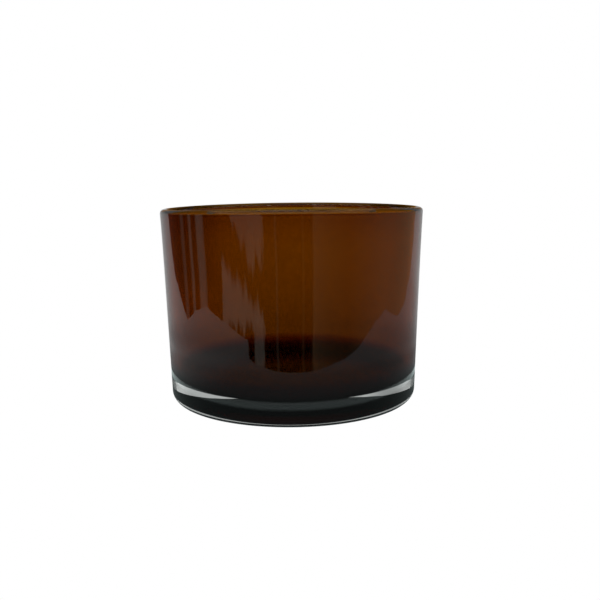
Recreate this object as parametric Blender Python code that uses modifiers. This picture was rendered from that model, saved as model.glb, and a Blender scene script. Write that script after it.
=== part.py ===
"""Candle jar: a heavy clear glass tumbler with a transparent amber lining on its inside.

Metres, +Z up. The origin is the centre of the foot, on the surface that the jar stands on,
and +Z is the axis that both pieces are turned about.
"""
import math

import bpy

# ---- Driving dimensions -------------------------------------------------------------------

HEIGHT = 0.0750            # foot to top of lip
WALL_RADIUS_TOP = 0.0505   # outside of the straight wall, carried up to the lip
WALL_RADIUS_FOOT = 0.0480  # outside of the straight wall, carried down to the foot
FLARE = 0.00025            # how far the lip leans out past the straight wall
FLARE_POWER = 6            # keeps the flare in the top quarter of the wall
WALL_THICKNESS = 0.0032
FLOOR_THICKNESS = 0.0091   # the heavy clear base under the lining
LIP_ROUND = 0.0016         # half the wall: the lip is melted to a full round
HEEL_ROUND = 0.0042        # outside edge between wall and foot
CORNER_ROUND = 0.0050      # inside edge between wall and floor

FOOT_RING_WIDTH = 0.0050   # flat ring that the jar stands on
PUNT_DEPTH = 0.0026        # shallow hollow under the base
PUNT_ROUND = 0.0060        # width of the slope from the ring up into the hollow

LINING_THICKNESS = 0.0004
LINING_GAP = 0.0003        # clearance that keeps the two solids apart
LINING_DROP = 0.0016       # the lining stops this far below the top of the lip

TURN_STEPS = 72            # facets round the jar
WALL_ROWS = 6              # points up a wall, for the flare
ARC_ROWS = 5               # points round a quarter circle
LIP_ROWS = 8               # points over the lip

COLLECTION = "candle_jar"


# ---- Helpers ------------------------------------------------------------------------------

def clear_scene():
    """Start from an empty scene."""
    for found in list(bpy.data.objects):
        bpy.data.objects.remove(found, do_unlink=True)


def make_collection(name):
    """A collection in the scene for the jar's pieces."""
    collection = bpy.data.collections.new(name)
    bpy.context.scene.collection.children.link(collection)
    return collection


def make_material(name, colour, roughness, transmission):
    """A Principled material for one piece."""
    material = bpy.data.materials.new(name)
    material.use_nodes = True
    shader = material.node_tree.nodes["Principled BSDF"]
    shader.inputs["Base Color"].default_value = (*colour, 1.0)
    shader.inputs["Roughness"].default_value = roughness
    shader.inputs["Metallic"].default_value = 0.0
    shader.inputs["IOR"].default_value = 1.5
    shader.inputs["Transmission Weight"].default_value = transmission
    material.diffuse_color = (*colour, 1.0)
    return material


def arc(centre, radius, start_degrees, end_degrees, rows):
    """Points on an arc in the profile plane, both ends included."""
    points = []
    for row in range(rows + 1):
        angle = math.radians(start_degrees + (end_degrees - start_degrees) * row / rows)
        points.append((centre[0] + radius * math.cos(angle), centre[1] + radius * math.sin(angle)))
    return points


def turned(name, profile, material, collection):
    """A solid turned about Z. The profile starts and ends on the axis and runs down its outer side."""
    mesh = bpy.data.meshes.new(name)
    edges = [(index, index + 1) for index in range(len(profile) - 1)]
    mesh.from_pydata([(radius, 0.0, height) for radius, height in profile], edges, [])
    piece = bpy.data.objects.new(name, mesh)
    piece.data.materials.append(material)
    collection.objects.link(piece)

    screw = piece.modifiers.new("turn", "SCREW")
    screw.axis = "Z"
    screw.angle = 2.0 * math.pi
    screw.steps = TURN_STEPS
    screw.render_steps = TURN_STEPS
    screw.use_merge_vertices = True
    screw.merge_threshold = 0.00001
    screw.use_smooth_shade = True
    return piece


# ---- Shape of the wall --------------------------------------------------------------------

def outside_radius(height):
    """Outside radius of the glass at a height: a straight taper with a slight flare at the top."""
    share = height / HEIGHT
    straight = WALL_RADIUS_FOOT + (WALL_RADIUS_TOP - WALL_RADIUS_FOOT) * share
    return straight + FLARE * share ** FLARE_POWER


def wall_points(inset, low, high):
    """Points up the wall at a distance in from its outside, both ends included."""
    points = []
    for row in range(WALL_ROWS + 1):
        height = low + (high - low) * row / WALL_ROWS
        points.append((outside_radius(height) - inset, height))
    return points


def cup_points(inset, floor_height, corner_round, top):
    """The inside of a cup: from the axis along its flat floor, round its corner and up its wall."""
    wall_start = floor_height + corner_round
    corner_radius = outside_radius(wall_start) - inset - corner_round
    floor = [(0.0, floor_height), (0.5 * corner_radius, floor_height)]
    corner = arc((corner_radius, wall_start), corner_round, -90.0, 0.0, ARC_ROWS)
    return floor + corner + wall_points(inset, wall_start, top)[1:]


# ---- The pieces ---------------------------------------------------------------------------

def make_clear_glass_body(collection):
    """The pressed clear glass: thin tapered wall, round lip, heavy base with a flat foot ring."""
    lip_height = HEIGHT - LIP_ROUND
    lip_centre = (outside_radius(lip_height) - LIP_ROUND, lip_height)
    inside = cup_points(WALL_THICKNESS, FLOOR_THICKNESS, CORNER_ROUND, lip_height)
    lip = arc(lip_centre, LIP_ROUND, 180.0, 0.0, LIP_ROWS)

    heel_centre = (outside_radius(HEEL_ROUND) - HEEL_ROUND, HEEL_ROUND)
    outside = list(reversed(wall_points(0.0, HEEL_ROUND, lip_height)))
    heel = arc(heel_centre, HEEL_ROUND, 0.0, -90.0, ARC_ROWS)

    ring_inner = heel_centre[0] - FOOT_RING_WIDTH
    punt_edge = ring_inner - PUNT_ROUND
    underside = [
        (ring_inner, 0.0),
        (ring_inner - 0.5 * PUNT_ROUND, 0.5 * PUNT_DEPTH),
        (punt_edge, 0.85 * PUNT_DEPTH),
        (0.5 * punt_edge, PUNT_DEPTH),
        (0.0, PUNT_DEPTH),
    ]
    profile = inside + lip[1:] + outside[1:] + heel[1:] + underside
    glass = make_material("clear_glass", (0.93, 0.95, 0.94), 0.02, 1.0)
    return turned("clear_glass_body", profile, glass, collection)


def make_amber_lining(collection):
    """The amber coat sprayed inside the glass: a thin cup that follows the wall and the floor."""
    back = WALL_THICKNESS + LINING_GAP
    face = back + LINING_THICKNESS
    top = HEIGHT - LINING_DROP
    back_floor = FLOOR_THICKNESS + LINING_GAP
    face_floor = back_floor + LINING_THICKNESS
    inner = cup_points(face, face_floor, CORNER_ROUND - LINING_GAP - LINING_THICKNESS, top)
    outer = cup_points(back, back_floor, CORNER_ROUND - LINING_GAP, top)
    amber = make_material("amber_lacquer", (0.42, 0.16, 0.01), 0.05, 1.0)
    return turned("amber_lining", inner + list(reversed(outer)), amber, collection)


def main():
    clear_scene()
    collection = make_collection(COLLECTION)
    make_clear_glass_body(collection)
    make_amber_lining(collection)


main()
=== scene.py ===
# %% [markdown]
# # An empty amber candle jar
#
# This is a low, heavy tumbler for a poured candle. The glass itself is clear. The amber is a
# transparent lacquer, sprayed on the inside only, so the thick base under it stays clear and
# shows as a bright crescent at both sides.
#
# The jar has two pieces: the pressed glass and the lacquer. Each is turned from a profile.

# %% The fixed frame
import math

import bpy
from mathutils import Matrix, Vector, noise


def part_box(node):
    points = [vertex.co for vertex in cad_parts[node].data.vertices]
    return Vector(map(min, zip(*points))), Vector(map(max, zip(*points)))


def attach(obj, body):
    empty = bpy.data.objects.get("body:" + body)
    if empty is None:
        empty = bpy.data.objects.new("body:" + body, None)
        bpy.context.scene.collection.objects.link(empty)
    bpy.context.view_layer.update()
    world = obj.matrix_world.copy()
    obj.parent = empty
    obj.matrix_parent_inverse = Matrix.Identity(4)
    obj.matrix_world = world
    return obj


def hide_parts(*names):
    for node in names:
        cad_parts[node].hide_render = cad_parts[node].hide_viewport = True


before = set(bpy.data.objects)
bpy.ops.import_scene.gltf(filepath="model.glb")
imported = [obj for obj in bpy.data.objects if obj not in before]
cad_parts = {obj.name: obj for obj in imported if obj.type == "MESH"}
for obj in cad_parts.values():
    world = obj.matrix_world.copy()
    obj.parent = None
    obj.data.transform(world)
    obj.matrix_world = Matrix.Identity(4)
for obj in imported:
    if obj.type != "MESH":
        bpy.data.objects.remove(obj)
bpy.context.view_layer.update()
print("pieces in the frame:", sorted(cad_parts))

# %% [markdown]
# ## Sizes
#
# The height and the lip come from the frame. The rest are the jar maker's dimensions in
# metres. The wall leans out a little from foot to lip, and the last few millimetres under
# the lip flare by a hair, as melted glass does.

# %% Sizes of the jar
glass_low, glass_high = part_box("clear_glass_body")
lacquer_low, lacquer_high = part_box("amber_lining")

HEIGHT = glass_high.z
WALL_AT_TOP = 0.0505
WALL_AT_FOOT = 0.0480
FLARE = 0.00025
FLARE_POWER = 6
WALL = 0.0032
LIP = WALL / 2
HEEL = 0.0042
CORNER = 0.0050
GLASS_FLOOR = 0.0091
FOOT_RING = 0.0050
FOOT_EDGE = 0.0004
PUNT = 0.0026
PUNT_SLOPE = 0.0060
PUNT_FLAT = (0.024, 0.012)
print("glass from", round(glass_low.z, 4), "to", round(HEIGHT, 4), "lip radius", round(glass_high.x, 4))
print("lacquer from", round(lacquer_low.z, 4), "to", round(lacquer_high.z, 4))

# %% [markdown]
# The lacquer is drawn far thinner than its solid in the frame, because the real film is thin
# and touches the glass. A gap of a hundredth of a millimetre keeps the two surfaces apart.
#
# No rim is dead level. Fire polishing lets this one sag a few tenths of a millimetre at two
# opposite sides, and it stands almost a millimetre higher at the front. Both show when the eye
# is nearly level with the rim.

# %% Sizes of the film and of the hand-made faults
FILM = 0.00020
FILM_GAP = 0.00001
FILM_TOP = HEIGHT - 0.0010
RIM_SAG = 0.00038
RIM_LIFT = 0.00090
UNEVEN_FROM = 0.050
WAVE_DEPTH = 0.000022
WAVE_LENGTH = 0.013
WAVE_STRETCH = 0.35
STILL_RADIUS = 0.020
SIDES = 288
print("film in mm:", FILM * 1000, "rim lift in mm:", RIM_LIFT * 1000, "sides:", SIDES)

# %% [markdown]
# ## The profile
#
# A turned shape is all in its profile, so the profile gets the care. `outside` is the outer
# radius at any height. An arc rounds every edge, because real glass has no sharp one, and
# close rows beside each arc keep the smooth shading from smearing across it.

# %% Profile helpers
FLOOR_ROWS = 10
CORNER_ROWS = 16
INSIDE_ROWS = 26
LIP_ROWS = 24
OUTSIDE_ROWS = 30
HEEL_ROWS = 18
PUNT_ROWS = 12


def outside(height):
    share = height / HEIGHT
    return WALL_AT_FOOT + (WALL_AT_TOP - WALL_AT_FOOT) * share + FLARE * share ** FLARE_POWER


def arc(centre, radius, start, end, rows):
    points = []
    for row in range(rows + 1):
        angle = math.radians(start + (end - start) * row / rows)
        points.append((centre[0] + radius * math.cos(angle), centre[1] + radius * math.sin(angle)))
    return points


def wall_rows(inset, low, high, rows):
    heights = [low + (high - low) * row / rows for row in range(rows + 1)]
    return [(outside(height) - inset, height) for height in heights]


def cup(inset, floor, corner, top):
    start = floor + corner
    corner_radius = outside(start) - inset - corner
    flat = [(corner_radius * row / FLOOR_ROWS, floor) for row in range(1, FLOOR_ROWS)]
    bend = arc((corner_radius, start), corner, -90, 0, CORNER_ROWS)
    return flat + bend + wall_rows(inset, start, top, INSIDE_ROWS)[1:]


print("outer radius at foot and lip:", round(outside(0), 4), round(outside(HEIGHT), 4))

# %% [markdown]
# ## Turning a profile by hand
#
# A filled circle is the first ring. Its rim is then extruded and scaled to each next ring,
# as anyone would do it with E and S, and the last ring is filled. Scaling about the axis
# keeps every ring round. A Screw modifier would do the same job, but it leaves a pole and a
# seam to close afterwards. The normals are recalculated when the shell is closed.

# %% Modelling helpers
MERGE_DISTANCE = 0.000001


def deselect_all():
    bpy.ops.object.select_all(action="DESELECT")


def place_at_origin():
    bpy.ops.object.transform_apply(location=True, rotation=True, scale=True)


def turned(name, rings):
    """A closed solid from (radius, height) rings that run from the axis back to the axis."""
    deselect_all()
    radius, height = rings[0]
    bpy.ops.mesh.primitive_circle_add(vertices=SIDES, radius=radius, fill_type="TRIFAN",
                                      location=(0, 0, height))
    piece = bpy.context.active_object
    piece.name = name
    piece.data.name = name
    place_at_origin()
    bpy.ops.object.mode_set(mode="EDIT")
    bpy.ops.mesh.select_all(action="DESELECT")
    bpy.ops.mesh.select_non_manifold(extend=False, use_boundary=True, use_wire=False,
                                     use_multi_face=False, use_non_contiguous=False, use_verts=False)
    for next_radius, next_height in rings[1:]:
        rise = next_height - height
        bpy.ops.mesh.extrude_edges_move(TRANSFORM_OT_translate={"value": (0, 0, rise)})
        ratio = next_radius / radius
        bpy.ops.transform.resize(value=(ratio, ratio, 1.0), center_override=(0, 0, next_height))
        radius, height = next_radius, next_height
    bpy.ops.mesh.edge_face_add()
    bpy.ops.mesh.poke()
    bpy.ops.mesh.select_all(action="SELECT")
    bpy.ops.mesh.remove_doubles(threshold=MERGE_DISTANCE)
    bpy.ops.mesh.normals_make_consistent(inside=False)
    bpy.ops.object.mode_set(mode="OBJECT")
    bpy.ops.object.shade_smooth()
    print(name, "rings", len(rings), "faces", len(piece.data.polygons))
    return piece


# %% [markdown]
# ## The faults of pressed glass
#
# A mould leaves the surface very slightly wavy, and reflections in it wobble. Each point is
# moved along its radius by smooth noise that is longer up the wall than round it. The upper
# third of the wall also drops at two opposite sides and rises at the front, more towards the
# rim. The noise has no random state, so it never changes.

# %% Waves, sag and lift
def wave_and_sag(piece):
    most = 0.0
    for point in piece.data.vertices:
        place = point.co.copy()
        radius = math.hypot(place.x, place.y)
        if radius > STILL_RADIUS and place.z > 0.0:
            steady = min(1.0, place.z / HEEL)
            probe = Vector((place.x, place.y, place.z * WAVE_STRETCH)) / WAVE_LENGTH
            push = WAVE_DEPTH * steady * noise.noise(probe)
            point.co.x += place.x / radius * push
            point.co.y += place.y / radius * push
            most = max(most, abs(push))
            share = max(0.0, (place.z - UNEVEN_FROM) / (HEIGHT - UNEVEN_FROM))
            side = place.x / radius
            front = max(0.0, -place.y / radius)
            point.co.z += share * share * (RIM_LIFT * front * front - RIM_SAG * side * side)
    piece.data.update()
    print(piece.name, "largest wave in mm:", round(most * 1000, 4))


# %% [markdown]
# ## The clear glass
#
# The profile starts on the inner floor, goes up the inside, over the round lip and down the
# outside, round the heel to the flat foot ring, and up into the punt. The punt is the shallow
# hollow that presses leave under a base. It makes the middle of the base dark and leaves the
# two bright crescents at its ends.

# %% Clear glass
lip_height = HEIGHT - LIP
heel_radius = outside(HEEL) - HEEL
ring_inner = heel_radius - FOOT_RING

glass_rings = cup(WALL, GLASS_FLOOR, CORNER, lip_height)
glass_rings += arc((outside(lip_height) - LIP, lip_height), LIP, 180, 0, LIP_ROWS)[1:]
glass_rings += list(reversed(wall_rows(0.0, HEEL, lip_height, OUTSIDE_ROWS)))[1:]
glass_rings += arc((heel_radius, HEEL), HEEL, 0, -90, HEEL_ROWS)[1:]
glass_rings += [(heel_radius - FOOT_EDGE, 0.0), (ring_inner + FOOT_EDGE, 0.0), (ring_inner, 0.0)]
for row in range(1, PUNT_ROWS + 1):
    share = row / PUNT_ROWS
    glass_rings.append((ring_inner - PUNT_SLOPE * share, PUNT * 0.5 * (1 - math.cos(math.pi * share))))
glass_rings += [(radius, PUNT) for radius in PUNT_FLAT]

glass = turned("clear_glass_body_fine", glass_rings)
wave_and_sag(glass)

# %% [markdown]
# ## The amber lacquer
#
# The film is a second cup, one film inside the glass. At the top it follows the lip's curve a
# little way, and its edge is a small round bead, as wet lacquer leaves where the spray mask
# ended.

# %% Amber lacquer
BEAD_ROWS = 8
CURVE_ROWS = 5
BELOW_BEAD = 0.00006
bead = FILM / 2
bead_height = FILM_TOP - bead
curve_height = bead_height - BELOW_BEAD - lip_height


def film_inset(height):
    """How far in from the outer wall the glass surface is: it follows the lip's curve at the top."""
    above = max(0.0, height - lip_height)
    return LIP + math.sqrt(max(0.0, LIP * LIP - above * above))


def film_side(gap):
    straight = cup(WALL + gap, GLASS_FLOOR + gap, CORNER - gap, lip_height)
    heights = [lip_height + curve_height * row / CURVE_ROWS for row in range(1, CURVE_ROWS + 1)]
    return straight + [(outside(height) - film_inset(height) - gap, height) for height in heights]


inner_rings = film_side(FILM_GAP + FILM)
outer_rings = film_side(FILM_GAP)
bead_centre = (outside(bead_height) - film_inset(bead_height) - FILM_GAP - bead, bead_height)
bead_rings = arc(bead_centre, bead, 180, 0, BEAD_ROWS)
lacquer = turned("amber_lining_fine", inner_rings + bead_rings + list(reversed(outer_rings)))
wave_and_sag(lacquer)

# %% [markdown]
# ## Shader maths in plain Python
#
# `Flow` wraps one socket. Arithmetic on it adds Math nodes, and `node` adds any other node,
# so a material below reads like the formula that it is. `between` is used most: its first two
# numbers are where a change starts and ends, and its last two are the values there.

# %% Shader helper
class Flow:
    """A socket in a node tree, with the operators that the materials below use."""

    def __init__(self, tree, socket=None):
        self.tree = tree
        self.socket = socket

    def node(self, kind, settings=None, inputs=None, output=0):
        made = self.tree.nodes.new(kind)
        for name, value in (settings or {}).items():
            if name == "stops":
                ramp = made.color_ramp
                ramp.elements.remove(ramp.elements[-1])
                ramp.elements[0].position = value[0][0]
                ramp.elements[0].color = (*[value[0][1]] * 3, 1)
                for place, grey in value[1:]:
                    ramp.elements.new(place).color = (grey, grey, grey, 1)
            else:
                setattr(made, name, value)
        for name, value in (inputs or {}).items():
            if isinstance(value, Flow):
                self.tree.links.new(value.socket, made.inputs[name])
            else:
                made.inputs[name].default_value = value
        return None if output is None else Flow(self.tree, made.outputs[output])

    def maths(self, operation, first, second=0.0):
        return self.node("ShaderNodeMath", {"operation": operation}, {0: first, 1: second})

    def __add__(self, other):
        return self.maths("ADD", self, other)

    def __sub__(self, other):
        return self.maths("SUBTRACT", self, other)

    def __rsub__(self, other):
        return self.maths("SUBTRACT", other, self)

    def __mul__(self, other):
        return self.maths("MULTIPLY", self, other)

    def __truediv__(self, other):
        return self.maths("DIVIDE", self, other)

    def __rtruediv__(self, other):
        return self.maths("DIVIDE", other, self)

    def __rpow__(self, other):
        return self.maths("POWER", other, self)

    __radd__ = __add__
    __rmul__ = __mul__

    def between(self, low, high, new_low=0.0, new_high=1.0):
        """A smooth step from new_low at low to new_high at high."""
        ends = {"From Min": low, "From Max": high, "To Min": new_low, "To Max": new_high}
        return self.node("ShaderNodeMapRange", {"interpolation_type": "SMOOTHSTEP"}, {"Value": self, **ends})

    def split(self):
        """The x, y and z of a vector."""
        first = self.node("ShaderNodeSeparateXYZ", inputs={0: self})
        return [Flow(self.tree, output) for output in first.socket.node.outputs]

    def clouds(self, scale, detail):
        """Noise at this place, about 0.5 on average."""
        return self.node("ShaderNodeTexNoise", inputs={"Vector": self, "Scale": scale, "Detail": detail})

    def colour(self, red, green, blue):
        return self.node("ShaderNodeCombineColor", inputs={0: red, 1: green, 2: blue})

    def mixed(self, first, second):
        """The first colour where this flow is 0, and the second where it is 1."""
        return self.node("ShaderNodeMix", {"data_type": "RGBA"}, {0: self, 6: first, 7: second}, output=2)


print("flow has", len([name for name in vars(Flow) if callable(getattr(Flow, name))]), "methods")

# %% [markdown]
# Every material of the jar is one glass shader, so one function starts it. The index is how
# much it bends light. Full transmission and no roughness make it clear, and what varies over
# the surface is fed in later.

# %% Starting a material
def start_material(name, ior):
    """A fresh glass material: its Principled node, a Flow to build on, and the place on the piece."""
    material = bpy.data.materials.new(name)
    material.use_nodes = True
    shader = material.node_tree.nodes["Principled BSDF"]
    shader.inputs["IOR"].default_value = ior
    shader.inputs["Transmission Weight"].default_value = 1.0
    shader.inputs["Roughness"].default_value = 0.0
    flow = Flow(material.node_tree)
    return material, shader, flow, flow.node("ShaderNodeTexCoord", output=3)


def feed(shader, flow, **sockets):
    for name, value in sockets.items():
        flow.tree.links.new(value.socket, shader.inputs[name.replace("_", " ")])


print("materials so far:", len(bpy.data.materials))

# %% [markdown]
# ## Clear glass, polished by fire
#
# Soda glass is nearly colourless. A breath of green shows in the thick base. The press also
# leaves a faint ripple and a trace of haze, both too small to see alone, and both needed to
# make a reflection look like glass and not like a mirror.

# %% Material: clear glass
GLASS_INDEX = 1.5
GLASS_TINT = (0.960, 0.995, 0.975)

clear, shader, flow, place = start_material("clear_pressed_glass", GLASS_INDEX)
haze = place.clouds(45.0, 3.0)
tone = haze.between(0.35, 0.75, 1.0, 0.985)
tint = flow.colour(*(tone * share for share in GLASS_TINT))
ripple = place.clouds(160.0, 1.0)
bump = flow.node("ShaderNodeBump", inputs={"Strength": 0.05, "Distance": 0.0002, "Height": ripple})
feed(shader, flow, Base_Color=tint, Roughness=haze.between(0.5, 0.8, 0.0, 0.012), Normal=bump)
print("clear glass nodes:", len(clear.node_tree.nodes))

# %% [markdown]
# ## Where the lacquer touches the glass
#
# Light doesn't bend where the film touches the glass, because both have nearly the same index.
# So the glass faces behind the film, and the film's own back, are given an index of 1, and the
# film's free skin has the index of glass. Without this, two false layers of reflection appear.

# %% Material: the joined face of the glass
NO_BEND = 1.0

joined, shader, flow, place = start_material("glass_under_lacquer", NO_BEND)
pale = place.clouds(60.0, 2.0).between(0.3, 0.8, 1.0, 0.975)
feed(shader, flow, Base_Color=flow.colour(pale, pale, pale))
print("joined face nodes:", len(joined.node_tree.nodes))

# %% [markdown]
# ## The amber itself
#
# A dye takes out a share of the light for each layer that light crosses, so the colour is the
# one-layer colour raised to the power of the thickness. A slanting ray crosses more of the
# film, by one over the cosine of its angle, and Layer Weight gives that cosine. The sprayed
# film is thin up the wall, has fine mottling, and runs down and gathers in the corner and on
# the floor, where it is almost black.
#
# The lip has a coat of its own. Surface tension thins the lacquer on the shoulder just under
# the lip and heaps it where it rolls over the top, so the front lip glows as a thin bright
# band. At the back, extra dye is painted shade: a dark line that stands for the shaded paper
# seen through the back lip. These bands are only tenths of a millimetre high, so their height
# is measured along the uneven rim, not from the floor.

# %% How thick the coat is
AMBER = (0.503, 0.247, 0.0060)
MOTTLE = 0.10
MOTTLE_LEVEL = 1.04
LEAST_COSINE = 0.10
GATHER_FROM = 0.0170
GATHER_TO = GLASS_FLOOR + 0.0015
RIM_EXTRA = 0.10
BEAD_EXTRA = 0.35
SHOULDER_COAT = 0.42
# Extra dye layers at the back of the lip: painted shade for its dark line.
BACK_LIP_PAINTED_SHADE = 1.2
LIP_COAT = 1.70
RIM_BAND = (0.062, 0.070)
BEAD_BAND = (0.0726, 0.0729)
BACK_SHADE_BAND = (0.0729, 0.0732)
SHOULDER_BAND = (0.0732, 0.0733)
LIP_BAND = (0.0736, 0.0737)
FRONT_TO_BACK = (-0.020, 0.020)


def even_height(flow, place):
    """Height above the foot with the rim's sag and lift taken out again."""
    x, y, z = place.split()
    share = flow.maths("MAXIMUM", (z - UNEVEN_FROM) / (HEIGHT - UNEVEN_FROM), 0.0)
    front = flow.maths("MINIMUM", y, 0.0)
    uneven = (front * front * RIM_LIFT - x * x * RIM_SAG) / (x * x + y * y)
    return z - share * share * uneven


def coat_and_back_shade(flow, place, gathered, deepest):
    """Layers of dye: one on the wall, gathered to deepest on the floor, the lip's own bands, and extra dye at
    the back of the lip as painted shade.
    """
    height = even_height(flow, place)
    rim = height.between(*RIM_BAND, 0.0, RIM_EXTRA) + height.between(*BEAD_BAND, 0.0, BEAD_EXTRA)
    coat = height.between(GATHER_FROM, GATHER_TO, gathered, deepest) + rim
    back = place.split()[1].between(*FRONT_TO_BACK)
    shoulder = height.between(*SHOULDER_BAND, 1.0, SHOULDER_COAT)
    # Painted shade: extra dye on the back of the lip draws a dark line for the shaded paper seen through it.
    shoulder = shoulder + back * height.between(*BACK_SHADE_BAND, 0.0, BACK_LIP_PAINTED_SHADE)
    return coat * shoulder + height.between(*LIP_BAND, 0.0, LIP_COAT)


print("light left after one layer and after two:", AMBER, [round(share ** 2, 4) for share in AMBER])

# %% [markdown]
# The dye then goes on three kinds of face: the back of the film on the wall, the back of the
# film on the floor, and the top of the lip, which is one surface of coated glass and so has
# the index of glass. A tint is applied once when a ray goes in and once when it comes out, so
# the power is doubled to give it all at one surface.

# %% Material: amber on wall, floor and lip
def make_amber(name, ior, gathered, deepest):
    material, shader, flow, place = start_material(name, ior)
    slant = flow.node("ShaderNodeLayerWeight", inputs={"Blend": 0.5}, output=1)
    cosine = flow.maths("MAXIMUM", 1.0 - slant, LEAST_COSINE)
    cloud = place.clouds(55.0, 4.0)
    grain = place.clouds(900.0, 2.0)
    mottle = MOTTLE_LEVEL + (cloud - 0.5) * MOTTLE + (grain - 0.5) * MOTTLE
    dye_and_shade_layers = coat_and_back_shade(flow, place, gathered, deepest) * mottle
    power = 2.0 * dye_and_shade_layers / cosine
    feed(shader, flow, Base_Color=flow.colour(*(share ** power for share in AMBER)))
    print(name, "nodes:", len(material.node_tree.nodes))
    return material


# The wall and lip films also carry the painted shade at the back of the lip.
wall_amber_and_back_shade = make_amber("amber_film_and_back_shade_on_wall", NO_BEND, 1.0, 3.8)
amber_floor = make_amber("amber_film_gathered", NO_BEND, 6.0, 6.0)
lip_amber_and_back_shade = make_amber("amber_film_and_back_shade_on_lip", GLASS_INDEX, 1.0, 1.0)

# %% [markdown]
# ## The free skin of the lacquer
#
# Sprayed lacquer dries to a gloss with a slight orange peel, and a few dust nibs are caught in
# it. Both are bumps: fine noise for the peel, and small far-apart spots for the nibs. Where the
# lacquer pools, on the floor and in the corner, it has a weaker gloss and hardly any peel, so
# its index is near 1 and the dark floor stays calm.

# %% Material: lacquer skin
def make_skin(name, ior, peel_depth):
    material, shader, flow, place = start_material(name, ior)
    peel = place.clouds(420.0, 1.0)
    nibs = flow.node("ShaderNodeTexVoronoi", inputs={"Vector": place, "Scale": 70.0})
    spots = nibs.between(0.02, 0.06, 1.0, 0.0)
    relief = peel + spots * 3.0
    bump = flow.node("ShaderNodeBump", inputs={"Strength": peel_depth, "Distance": 0.0001, "Height": relief})
    smear = place.clouds(30.0, 2.0).between(0.45, 0.8, 0.004, 0.020)
    white = 1.0 - spots * 0.25
    feed(shader, flow, Normal=bump, Roughness=smear, Base_Color=flow.colour(white, white, white))
    print(name, "nodes:", len(material.node_tree.nodes))
    return material


skin = make_skin("lacquer_skin", GLASS_INDEX, 0.030)
pooled_skin = make_skin("lacquer_skin_pooled", 1.10, 0.008)

# %% [markdown]
# ## Which face gets which finish
#
# Faces are picked by place and by the way they point. On the glass, the inner faces that the
# film covers are joined faces, and the bare strip above the film is the coated lip.

# %% Finishes on the glass
for finish in (clear, joined, lip_amber_and_back_shade):
    glass.data.materials.append(finish)
CLEAR_FACE, JOINED_FACE, LIP_FACE = range(3)
FLOOR_SLACK = 0.0002
EDGE_SLACK = 0.0001

for face in glass.data.polygons:
    centre = face.center
    radius = math.hypot(centre.x, centre.y)
    if centre.z <= GLASS_FLOOR - FLOOR_SLACK or radius >= outside(centre.z) - LIP:
        face.material_index = CLEAR_FACE
    else:
        face.material_index = JOINED_FACE if centre.z < FILM_TOP - EDGE_SLACK else LIP_FACE
print("joined faces:", sum(face.material_index == JOINED_FACE for face in glass.data.polygons))

# %% [markdown]
# On the film, the faces that point to the glass carry the amber, and the free faces carry the
# skin. The skin counts as pooled up to a little way above the floor.

# %% Finishes on the lacquer
for finish in (skin, wall_amber_and_back_shade, amber_floor, pooled_skin):
    lacquer.data.materials.append(finish)
SKIN_FACE, WALL_FACE, FLOOR_FACE, POOLED_FACE = range(4)
POOL_DEPTH = 0.0035
FACING_DOWN = -0.5
FACING_UP = 0.9
floor_radius = outside(GLASS_FLOOR) - WALL - CORNER

for face in lacquer.data.polygons:
    centre = face.center
    radius = math.hypot(centre.x, centre.y)
    outward = centre.x * face.normal.x + centre.y * face.normal.y > 0 or face.normal.z < FACING_DOWN
    if outward and face.normal.z < FACING_UP and centre.z < bead_height:
        face.material_index = FLOOR_FACE if radius < floor_radius else WALL_FACE
    else:
        face.material_index = POOLED_FACE if centre.z < GLASS_FLOOR + POOL_DEPTH else SKIN_FACE
print("amber faces:", sum(face.material_index in (WALL_FACE, FLOOR_FACE) for face in lacquer.data.polygons))

# %% [markdown]
# ## Putting both pieces on the body
#
# Nothing on the jar moves, so both pieces ride on its one body. Each is shown in place of the
# plain solid of the same name, which is hidden.

# %% Body and hidden solids
stands_for = ((glass, "clear_glass_body", "clear_glass"), (lacquer, "amber_lining", "amber_lacquer"))
for piece, node, slot in stands_for:
    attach(piece, "root")
    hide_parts(node)
    print(piece.name, "stands for", node)

# %% [markdown]
# ## The stage
#
# Glass shows its surroundings and little else, so the surroundings are made with care. The jar
# stands on a sheet of white paper that sweeps up behind it. The sheet is pure white to the eye,
# as in a catalogue. What the glass reflects and refracts is softer: the paper is grey, and it
# is darker where the jar shades it.
#
# Everything on the stage gives its own light, so what the glass shows doesn't depend on lamps
# and shadows, and a render has little noise.

# %% Stage helpers
WHITE = (1, 1, 1, 1)


def light_path(flow, output):
    return flow.node("ShaderNodeLightPath", output=output)


def stage_glow(name):
    """A light-giving material: its tree's Flow, and the place on the stage as x, y, z and distance."""
    material = bpy.data.materials.new(name)
    material.use_nodes = True
    material.node_tree.nodes.clear()
    flow = Flow(material.node_tree)
    position = flow.node("ShaderNodeNewGeometry")
    distance = flow.node("ShaderNodeVectorMath", {"operation": "LENGTH"}, {0: position}, output=1)
    return material, flow, (*position.split(), distance)


def finish_glow(flow, strength, colour):
    glow = flow.node("ShaderNodeEmission", inputs={"Color": colour, "Strength": strength})
    flow.node("ShaderNodeOutputMaterial", inputs={"Surface": glow}, output=None)


def only_in_mirrors(stage_piece):
    for ray in ("camera", "diffuse", "transmission", "volume_scatter", "shadow"):
        setattr(stage_piece, "visible_" + ray, False)
    print(stage_piece.name, "is seen by glossy rays only")


print("materials before the stage:", len(bpy.data.materials))

# %% [markdown]
# The paper's light has two recipes. Reflected paper is dim under the jar's own shade, has a
# bright ring at the edge of that shade, gets lighter further out and fades up the sweep.
# Paper seen through the glass is dim near the foot and bright at the far sides, where the
# crescents in the base pick it up. High on the sweep the paper takes on the warm light of the
# ceiling, and next to the jar its reflection is a little cool.

# %% Light of the paper
AMBER_LIGHT = (1.0, 0.42, 0.04, 1)
COOL_LIGHT = (0.82, 1.0, 0.98, 1)

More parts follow.
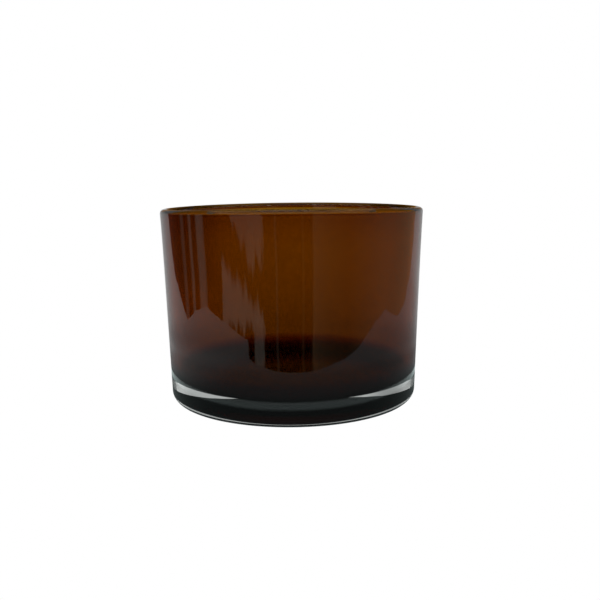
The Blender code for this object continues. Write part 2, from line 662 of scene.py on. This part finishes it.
paper_white, flow, (east, _, rise, distance) = stage_glow("studio_paper")
side = flow.maths("ABSOLUTE", east, 0.0)
to_eye = light_path(flow, "Is Camera Ray")
seen_through = light_path(flow, "Is Transmission Ray")

ring = distance.between(0.066, 0.070) * distance.between(0.0775, 0.0745)
high_middle = rise.between(0.085, 0.110) * side.between(0.170, 0.090)
height_fade = rise.between(0.060, 0.140, 0.0, 0.25) + high_middle * 0.05
far_left = east.between(-0.060, -0.110) * distance.between(0.160, 0.120) * 0.14
far = far_left + distance.between(0.104, 0.128, 0.0, 0.10) + distance.between(0.120, 0.220, 0.0, 0.22)
dim_right = 1.0 - east.between(0.090, 0.180) * rise.between(0.020, 0.000) * 0.25
reflected = (distance.between(0.068, 0.088, 0.13, 0.19) + far + ring * 0.54 - height_fade) * dim_right

near = distance.between(0.060, 0.100, 0.05, 0.25) + distance.between(0.140, 0.215, 0.0, 0.18)
raised_left = east.between(-0.045, -0.085, 0.0, 0.14) * rise.between(0.010, 0.030)
up_the_sweep = rise.between(0.085, 0.110, 0.0, 0.24) - rise.between(0.045, 0.080, 0.0, 0.08)
refracted = near - raised_left + up_the_sweep + side.between(0.100, 0.200, 0.0, 0.28)

soft = reflected + (refracted - reflected) * seen_through
warmed = (high_middle * (1.0 - seen_through)).mixed(WHITE, AMBER_LIGHT)
cool = distance.between(0.088, 0.070) * (1.0 - seen_through) * (1.0 - to_eye)
finish_glow(flow, flow.maths("MAXIMUM", soft, to_eye), cool.mixed(warmed, COOL_LIGHT))
print("paper nodes:", len(paper_white.node_tree.nodes))

# %% [markdown]
# The sheet is cut to a listed outline, because its far edges and corners show in the wall of
# the jar: the dark notch at the left, the two peaks and the long curve in front are all this
# outline. A circle with as many points as the outline has corners is added and its points are moved.

# %% The sheet of paper
PAPER_OUTLINE = (
    (-0.227, -0.016), (-0.230, -0.070), (-0.160, -0.120), (-0.090, -0.137), (-0.068, -0.112), (0.000, -0.114),
    (0.062, -0.108), (0.139, -0.088), (0.181, -0.073), (0.222, -0.039), (0.212, -0.009), (0.204, 0.021),
    (0.217, 0.046), (0.235, 0.083), (0.285, 0.130), (-0.300, 0.130), (-0.243, 0.065), (-0.201, 0.021),
)
PAPER_DROP = 0.0002

deselect_all()
bpy.ops.mesh.primitive_circle_add(vertices=len(PAPER_OUTLINE), radius=1, fill_type="NGON", location=(0, 0, 0))
paper = bpy.context.active_object
paper.name = "paper"
for point, corner in zip(paper.data.vertices, PAPER_OUTLINE):
    point.co = (*corner, -PAPER_DROP)
bpy.ops.object.mode_set(mode="EDIT")
bpy.ops.mesh.select_all(action="SELECT")
bpy.ops.mesh.quads_convert_to_tris()
bpy.ops.object.mode_set(mode="OBJECT")
paper.data.materials.append(paper_white)
print("paper faces:", len(paper.data.polygons))

# %% [markdown]
# Behind the jar the sheet bends up in a quarter circle and then stands. The bend starts as a
# narrow strip whose far edge is extruded along the arc. The eye sees only white there, so the
# sweep is hidden from it and left to the glass.

# %% The sweep behind the jar
SWEEP_START = 0.130
SWEEP_LEFT = -0.300
SWEEP_RIGHT = 0.285
SWEEP_STRIP = 0.001
SWEEP_RADIUS = 0.070
SWEEP_TOP = 0.250
SWEEP_ROWS = 10
bend_start = SWEEP_START + SWEEP_STRIP

deselect_all()
bpy.ops.mesh.primitive_plane_add(size=1, location=(0, 0, 0))
sweep = bpy.context.active_object
sweep.name = "sweep"
place_at_origin()
for point in sweep.data.vertices:
    point.co.x = SWEEP_LEFT if point.co.x < 0 else SWEEP_RIGHT
    point.co.y = bend_start if point.co.y > 0 else SWEEP_START
    point.co.z = -PAPER_DROP
bpy.ops.object.mode_set(mode="EDIT")
bpy.ops.mesh.select_all(action="DESELECT")
bpy.ops.object.mode_set(mode="OBJECT")
for point in sweep.data.vertices:
    point.select = point.co.y > SWEEP_START + SWEEP_STRIP / 2
for edge in sweep.data.edges:
    edge.select = all(sweep.data.vertices[index].select for index in edge.vertices)
bpy.ops.object.mode_set(mode="EDIT")
bpy.ops.mesh.select_mode(type="EDGE")
before = (bend_start, -PAPER_DROP)
curve = arc((bend_start, SWEEP_RADIUS), SWEEP_RADIUS, -90, 0, SWEEP_ROWS)[1:]
for along, up in curve + [(bend_start + SWEEP_RADIUS, SWEEP_TOP)]:
    step = (0, along - before[0], up - before[1])
    bpy.ops.mesh.extrude_edges_move(TRANSFORM_OT_translate={"value": step})
    before = (along, up)
bpy.ops.object.mode_set(mode="OBJECT")
sweep.data.materials.append(paper_white)
sweep.visible_camera = False
print("sweep faces:", len(sweep.data.polygons))

# %% [markdown]
# ## The room in the reflections
#
# Past the edge of the paper the glass mirrors the room: dark in front, a few upright bright
# strips and a soft window patch to the left, and a wide dim glow to the right. One round wall
# carries all of it, as a pattern of the angle round the jar and of height. Only glossy rays
# see it. A ramp gives the upright strips, as pairs of angle in degrees and brightness, and
# broken noise makes the edges of the patch ragged.

# %% Strips on the round wall
ROOM_STRIPS = (
    (-180, 0.00), (-168, 0.00), (-167, 0.20), (-166, 0.00),
    (-105, 0.00), (-103.5, 0.36), (-97, 0.36), (-95.5, 0.00),
    (-91, 0.00), (-89.5, 0.34), (-88, 0.34), (-86.5, 0.00),
    (-81, 0.00), (-80, 0.15), (-77, 0.15), (-75, 0.00),
    (48, 0.26), (64, 0.20), (100, 0.19), (122, 0.10), (134, 0.05), (150, 0.08), (161, 0.13), (163.2, 0.15),
    (164, 0.01), (170.5, 0.00), (171.5, 0.07), (172.5, 0.00), (180, 0.00),
)
STRIP_BEND = 3.5

room_light, flow, (east, north, level, _) = stage_glow("room_light")
angle = flow.maths("ARCTAN2", east, north) * (180.0 / math.pi)
bend = flow.node("ShaderNodeCombineXYZ", inputs={2: level}).clouds(14.0, 1.0)
bent = angle + (bend - 0.5) * STRIP_BEND
stops = [((place + 180.0) / 360.0, grey) for place, grey in ROOM_STRIPS]
strips = flow.node("ShaderNodeValToRGB", {"stops": stops}, {"Fac": (bent + 180.0) / 360.0})
print("strip stops:", len(stops))

# %% [markdown]
# A patch has two sides, a top and a foot. Each is a smooth step, pushed about by two noises:
# one tears the sides, and one pulls the top and foot into long brush strokes.

# %% Torn patches of light
TEAR = 9.0
TEAR_UP = 0.0010
STROKE = 0.055
SOFT_SIDE = 0.7
SOFT_FOOT = 0.007
SOFT_TOP = 0.009

stretched = flow.node("ShaderNodeCombineXYZ", inputs={0: angle * 0.22, 1: level * 16.0, 2: 0.0})
torn = (stretched.clouds(1.0, 3.0) - 0.5) * TEAR
strokes = flow.node("ShaderNodeCombineXYZ", inputs={0: angle * 0.30, 1: level * 9.0, 2: 7.0})
brush = strokes.clouds(1.0, 2.0)


def patch(left, right, low, high, strength, lean=0.0, slope=0.0):
    """A soft patch of light with torn edges, between two angles and two levels. Top and foot may lean."""
    across = (angle + torn).between(left - SOFT_SIDE, left + SOFT_SIDE)
    across = across * (angle + torn).between(right + SOFT_SIDE, right - SOFT_SIDE)
    shifted = level + torn * TEAR_UP + (brush - 0.5) * STROKE
    top = shifted - (angle - right) * lean
    foot = shifted - (angle - left) * slope
    up = foot.between(low - SOFT_FOOT, low + SOFT_FOOT) * top.between(high + SOFT_TOP, high - SOFT_TOP)
    return across * up * strength


patches = patch(-157, -145, -0.014, 0.300, 0.38) + patch(-145, -131, -0.014, 0.300, 0.33, 0.0, 0.0025)
patches = patches + patch(-157, -121, -0.068, -0.012, 0.50, 0.0012) + patch(-157, -149, -0.150, -0.066, 0.40)
print("room nodes so far:", len(room_light.node_tree.nodes))

# %% [markdown]
# The light is a little cream at the left and amber at the right, as in a room with a warm lamp
# at one side. High up, the wall glows warm, which lights the lip.

# %% The round wall
ROOM_RADIUS = 0.45
ROOM_SIDES = 96
ROOM_HEIGHT = 1.2
ROOM_MIDDLE = 0.1
LEFT_TO_RIGHT = (-5.0, 5.0)
HIGH_UP = (0.110, 0.180)
FADE_UP = (0.10, 0.30)
RIGHT_BOOST = 0.75
HIGH_GLOW = 0.50
LEFT_LIGHT = (1.0, 0.93, 0.80, 1)
RIGHT_LIGHT = (1.0, 0.72, 0.42, 1)
HIGH_LIGHT = (1.0, 0.45, 0.06, 1)

right = angle.between(*LEFT_TO_RIGHT)
high = level.between(*HIGH_UP)
upward_fade = level.between(*FADE_UP, 1.0, 0.2)
glow = (strips + patches) * (1.0 + right * RIGHT_BOOST) * upward_fade + high * HIGH_GLOW
finish_glow(flow, glow, high.mixed(right.mixed(LEFT_LIGHT, RIGHT_LIGHT), HIGH_LIGHT))

deselect_all()
bpy.ops.mesh.primitive_cylinder_add(vertices=ROOM_SIDES, radius=ROOM_RADIUS, depth=ROOM_HEIGHT,
                                    end_fill_type="NOTHING", location=(0, 0, ROOM_MIDDLE))
room = bpy.context.active_object
room.name = "room"
place_at_origin()
room.data.materials.append(room_light)
only_in_mirrors(room)

# %% [markdown]
# ## The warm ceiling
#
# The lip is a mirror that looks up, and the coated lip of this jar glows gold. A wide warm
# ceiling gives it that. It is dark in front, towards the eye, and comes up smoothly over the
# jar, so that its edge draws no line on the wall.

# %% Warm ceiling
CEILING_HEIGHT = 0.62
CEILING_SIDES = 64
CEILING_GLOW = 1.4
CEILING_EDGE = (-0.260, -0.090)
CEILING_LIGHT = (1.0, 0.48, 0.08, 1)

ceiling_light, flow, (_, north, _, _) = stage_glow("ceiling_light")
finish_glow(flow, north.between(*CEILING_EDGE, 0.0, CEILING_GLOW), CEILING_LIGHT)

deselect_all()
bpy.ops.mesh.primitive_circle_add(vertices=CEILING_SIDES, radius=ROOM_RADIUS, fill_type="NGON",
                                  location=(0, 0, 0))
ceiling = bpy.context.active_object
ceiling.name = "ceiling"
for point in ceiling.data.vertices:
    point.co.z = CEILING_HEIGHT
ceiling.data.materials.append(ceiling_light)
only_in_mirrors(ceiling)

# %% [markdown]
# ## World and lamp
#
# The world is white to the eye, a mid grey through the glass and nearly black in reflections.
# One large soft lamp hangs above and a little in front. It is weak, because almost all of the
# light here comes from the paper, the wall and the ceiling.

# %% World
WORLD_IN_MIRRORS = 0.012
WORLD_THROUGH_GLASS = 0.30

world = bpy.data.worlds.new("studio")
bpy.context.scene.world = world
world.use_nodes = True
flow = Flow(world.node_tree)
grey = WORLD_IN_MIRRORS + light_path(flow, "Is Transmission Ray") * WORLD_THROUGH_GLASS
shade = flow.maths("MAXIMUM", grey, light_path(flow, "Is Camera Ray"))
background = world.node_tree.nodes["Background"]
world.node_tree.links.new(shade.socket, background.inputs["Strength"])
background.inputs["Color"].default_value = WHITE
print("world nodes:", len(world.node_tree.nodes))

# %% Lamp
LAMP_SIZE = 0.30
LAMP_WATTS = 0.12
LAMP_PLACE = (-0.05, -0.10, 0.60)
LAMP_TILT = 10

lamp_data = bpy.data.lights.new("soft_lamp", "AREA")
lamp_data.shape = "DISK"
lamp_data.size = LAMP_SIZE
lamp_data.energy = LAMP_WATTS
lamp = bpy.data.objects.new("soft_lamp", lamp_data)
lamp.location = LAMP_PLACE
lamp.rotation_euler = (math.radians(LAMP_TILT), 0, 0)
bpy.context.scene.collection.objects.link(lamp)
print("lamp at", LAMP_PLACE)

# %% [markdown]
# ## The camera
#
# The eye is about 31 cm from the jar and only a finger's width above the rim, looking a little
# down, so the rim is a thin ellipse and the floor a wide one. The camera is turned and rolled
# by half a degree, as a hand does.

# %% Camera
EYE_DISTANCE = 0.3114
EYE_HEIGHT = HEIGHT + 0.0109
LENS = 47.63
SENSOR = 36
NEAREST = 0.01
LOOK_DOWN = 0.1525
TURN = 0.0094
ROLL = 0.0102

camera_data = bpy.data.cameras.new("camera")
camera = bpy.data.objects.new("camera", camera_data)
bpy.context.scene.collection.objects.link(camera)
camera_data.lens = LENS
camera_data.sensor_width = SENSOR
camera_data.clip_start = NEAREST
aim = Matrix.Rotation(math.pi / 2 - LOOK_DOWN, 4, "X")
look = Matrix.Rotation(-TURN, 4, "Z") @ aim @ Matrix.Rotation(-ROLL, 4, "Z")
camera.matrix_world = Matrix.Translation((0, -EYE_DISTANCE, EYE_HEIGHT)) @ look
bpy.context.scene.camera = camera
print("eye above the rim in mm:", round((EYE_HEIGHT - HEIGHT) * 1000, 1))

# %% [markdown]
# Light may cross many layers before it leaves a thick base, so the path lengths are raised.
# The plain view transform keeps paper white.

# %% Paths and view
MANY_LAYERS = 32
MIRROR_BOUNCES = 16

scene = bpy.context.scene
scene.view_settings.view_transform = "Standard"
scene.cycles.max_bounces = MANY_LAYERS
scene.cycles.transmission_bounces = MANY_LAYERS
scene.cycles.glossy_bounces = MIRROR_BOUNCES
scene.cycles.transparent_max_bounces = MANY_LAYERS
print("light may cross", scene.cycles.transmission_bounces, "layers")
